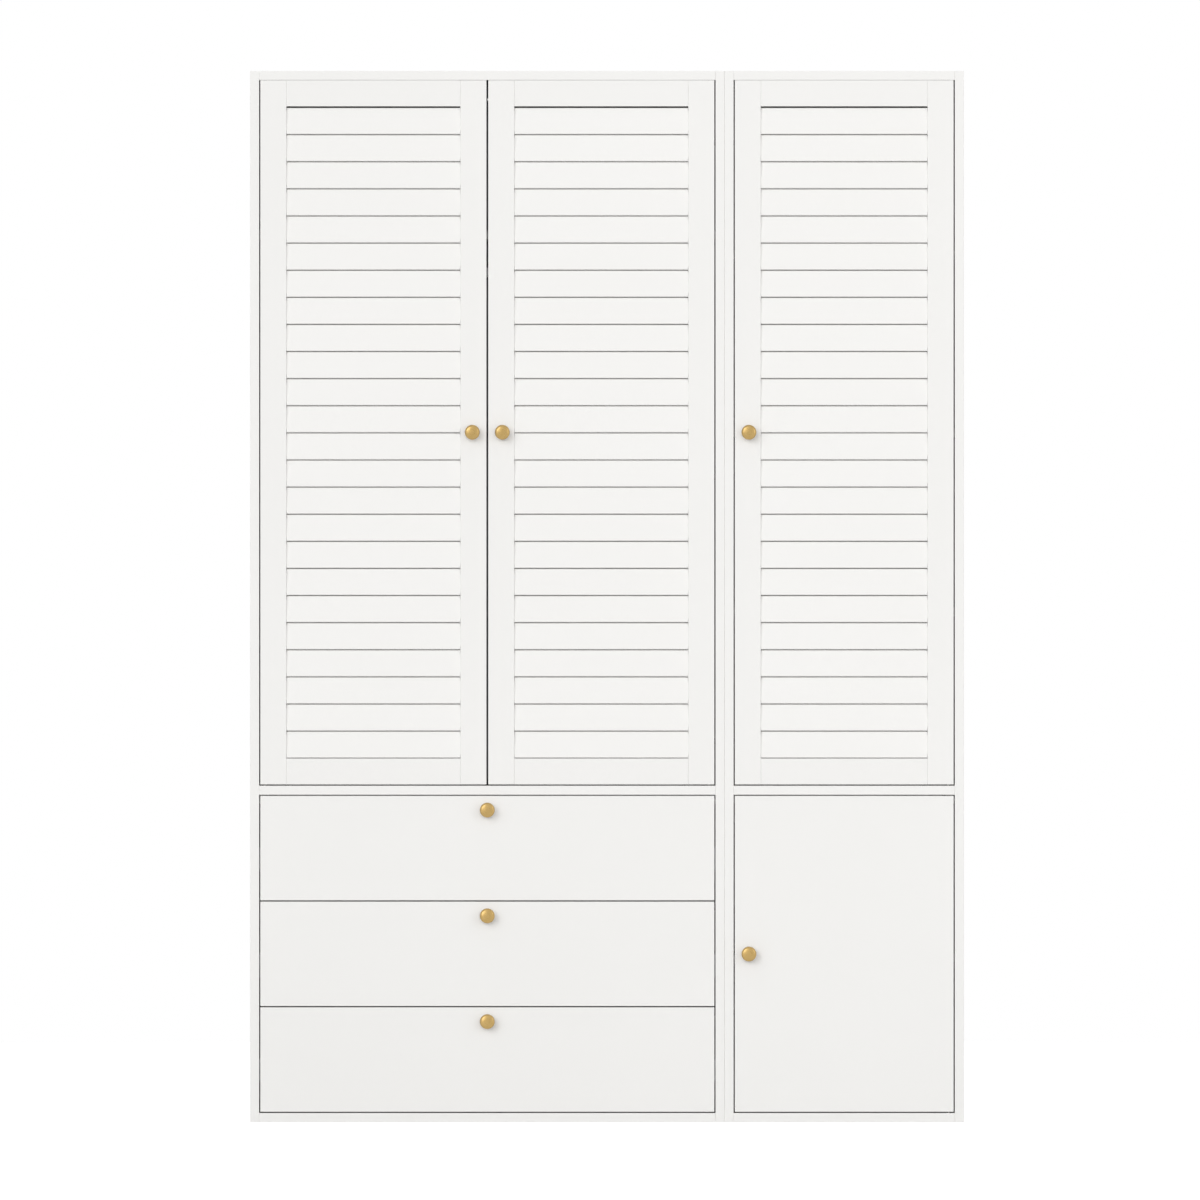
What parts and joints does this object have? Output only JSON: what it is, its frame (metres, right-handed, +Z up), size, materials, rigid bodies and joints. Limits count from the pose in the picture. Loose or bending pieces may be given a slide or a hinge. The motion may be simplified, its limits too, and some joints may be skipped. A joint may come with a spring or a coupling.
{
  "type": "louvred door cabinet",
  "caption": "Tall two-column storage cabinet with louvred doors above plain drawers and a plain door, round knobs, and shelves and a hanging rail inside.",
  "frame": {"origin": "on the floor, under the middle of the carcass footprint (the knobs and doors stand in front of it)", "axes": "+Z up, -Y towards the front with the doors, +X to the right of someone who faces the doors"},
  "size_m": [1.426, 0.604, 2.1],
  "materials": {
    "white_lacquer": "satin off-white lacquer",
    "drawer_board": "matt white-faced board",
    "back_board": "matt white-faced thin board",
    "knob_brass": "satin turned brass",
    "hinge_steel": "nickel-plated steel",
    "slide_zinc": "zinc-plated rolled steel",
    "rail_chrome": "polished chrome tube",
    "bracket_steel": "zinc-plated steel angle",
    "catch_plastic": "moulded white plastic"
  },
  "bodies": {
    "carcass": {"back_boards": "back_board", "carcass_hinge_leaves": "hinge_steel", "chest_bottom": "white_lacquer", "chest_left_side": "white_lacquer", "chest_right_side": "white_lacquer", "chest_top": "white_lacquer", "cupboard_bottom": "white_lacquer", "cupboard_left_side": "white_lacquer", "cupboard_right_side": "white_lacquer", "cupboard_top": "white_lacquer", "door_catches": "catch_plastic", "fixed_slides": "slide_zinc", "hanging_rail": "rail_chrome", "locker_bottom": "white_lacquer", "locker_left_side": "white_lacquer", "locker_right_side": "white_lacquer", "locker_top": "white_lacquer", "shelves": "white_lacquer", "wall_brackets": "bracket_steel", "wardrobe_bottom": "white_lacquer", "wardrobe_left_side": "white_lacquer", "wardrobe_right_side": "white_lacquer", "wardrobe_top": "white_lacquer"},
    "cupboard_door": {"cupboard_door_fittings": "hinge_steel", "cupboard_door_hinge_stile": "white_lacquer", "cupboard_door_knob": "knob_brass", "cupboard_door_knob_stile": "white_lacquer", "cupboard_door_rails": "white_lacquer", "cupboard_door_slats": "white_lacquer"},
    "drawer_1": {"drawer_1_box": "drawer_board", "drawer_1_front": "white_lacquer", "drawer_1_knob": "knob_brass", "drawer_1_slides": "slide_zinc"},
    "drawer_1_middle_slides": {"drawer_1_middle_slides": "slide_zinc"},
    "drawer_2": {"drawer_2_box": "drawer_board", "drawer_2_front": "white_lacquer", "drawer_2_knob": "knob_brass", "drawer_2_slides": "slide_zinc"},
    "drawer_2_middle_slides": {"drawer_2_middle_slides": "slide_zinc"},
    "drawer_3": {"drawer_3_box": "drawer_board", "drawer_3_front": "white_lacquer", "drawer_3_knob": "knob_brass", "drawer_3_slides": "slide_zinc"},
    "drawer_3_middle_slides": {"drawer_3_middle_slides": "slide_zinc"},
    "left_door": {"left_door_fittings": "hinge_steel", "left_door_hinge_stile": "white_lacquer", "left_door_knob": "knob_brass", "left_door_knob_stile": "white_lacquer", "left_door_rails": "white_lacquer", "left_door_slats": "white_lacquer"},
    "locker_door": {"locker_door_fittings": "hinge_steel", "locker_door_knob": "knob_brass", "locker_door_panel": "white_lacquer"},
    "right_door": {"right_door_fittings": "hinge_steel", "right_door_hinge_stile": "white_lacquer", "right_door_knob": "knob_brass", "right_door_knob_stile": "white_lacquer", "right_door_rails": "white_lacquer", "right_door_slats": "white_lacquer"}
  },
  "joints": [
    {"name": "left_door_hinge", "type": "hinge", "parent": "carcass", "child": "left_door", "pos_m": [-0.6826, -0.284, 0.6744], "axis": [0, 0, -1], "range_deg": [0, 110]},
    {"name": "right_door_hinge", "type": "hinge", "parent": "carcass", "child": "right_door", "pos_m": [0.2046, -0.284, 0.6744], "axis": [0, 0, 1], "range_deg": [0, 110]},
    {"name": "cupboard_door_hinge", "type": "hinge", "parent": "carcass", "child": "cupboard_door", "pos_m": [0.6826, -0.284, 0.6744], "axis": [0, 0, 1], "range_deg": [0, 110]},
    {"name": "locker_door_hinge", "type": "hinge", "parent": "carcass", "child": "locker_door", "pos_m": [0.6826, -0.284, 0.0204], "axis": [0, 0, 1], "range_deg": [0, 110]},
    {"name": "drawer_1_slide", "type": "slide", "parent": "carcass", "child": "drawer_1", "axis": [0, -1, 0], "range_m": [0, 0.48]},
    {"name": "drawer_1_middle_slide", "type": "slide", "parent": "carcass", "child": "drawer_1_middle_slides", "axis": [0, -1, 0], "range_m": [0, 0.24]},
    {"name": "drawer_2_slide", "type": "slide", "parent": "carcass", "child": "drawer_2", "axis": [0, -1, 0], "range_m": [0, 0.48]},
    {"name": "drawer_2_middle_slide", "type": "slide", "parent": "carcass", "child": "drawer_2_middle_slides", "axis": [0, -1, 0], "range_m": [0, 0.24]},
    {"name": "drawer_3_slide", "type": "slide", "parent": "carcass", "child": "drawer_3", "axis": [0, -1, 0], "range_m": [0, 0.48]},
    {"name": "drawer_3_middle_slide", "type": "slide", "parent": "carcass", "child": "drawer_3_middle_slides", "axis": [0, -1, 0], "range_m": [0, 0.24]}
  ],
  "couplings": [
    {"joint": "drawer_1_middle_slide", "follows": "drawer_1_slide", "ratio": 0.5},
    {"joint": "drawer_2_middle_slide", "follows": "drawer_2_slide", "ratio": 0.5},
    {"joint": "drawer_3_middle_slide", "follows": "drawer_3_slide", "ratio": 0.5}
  ]
}
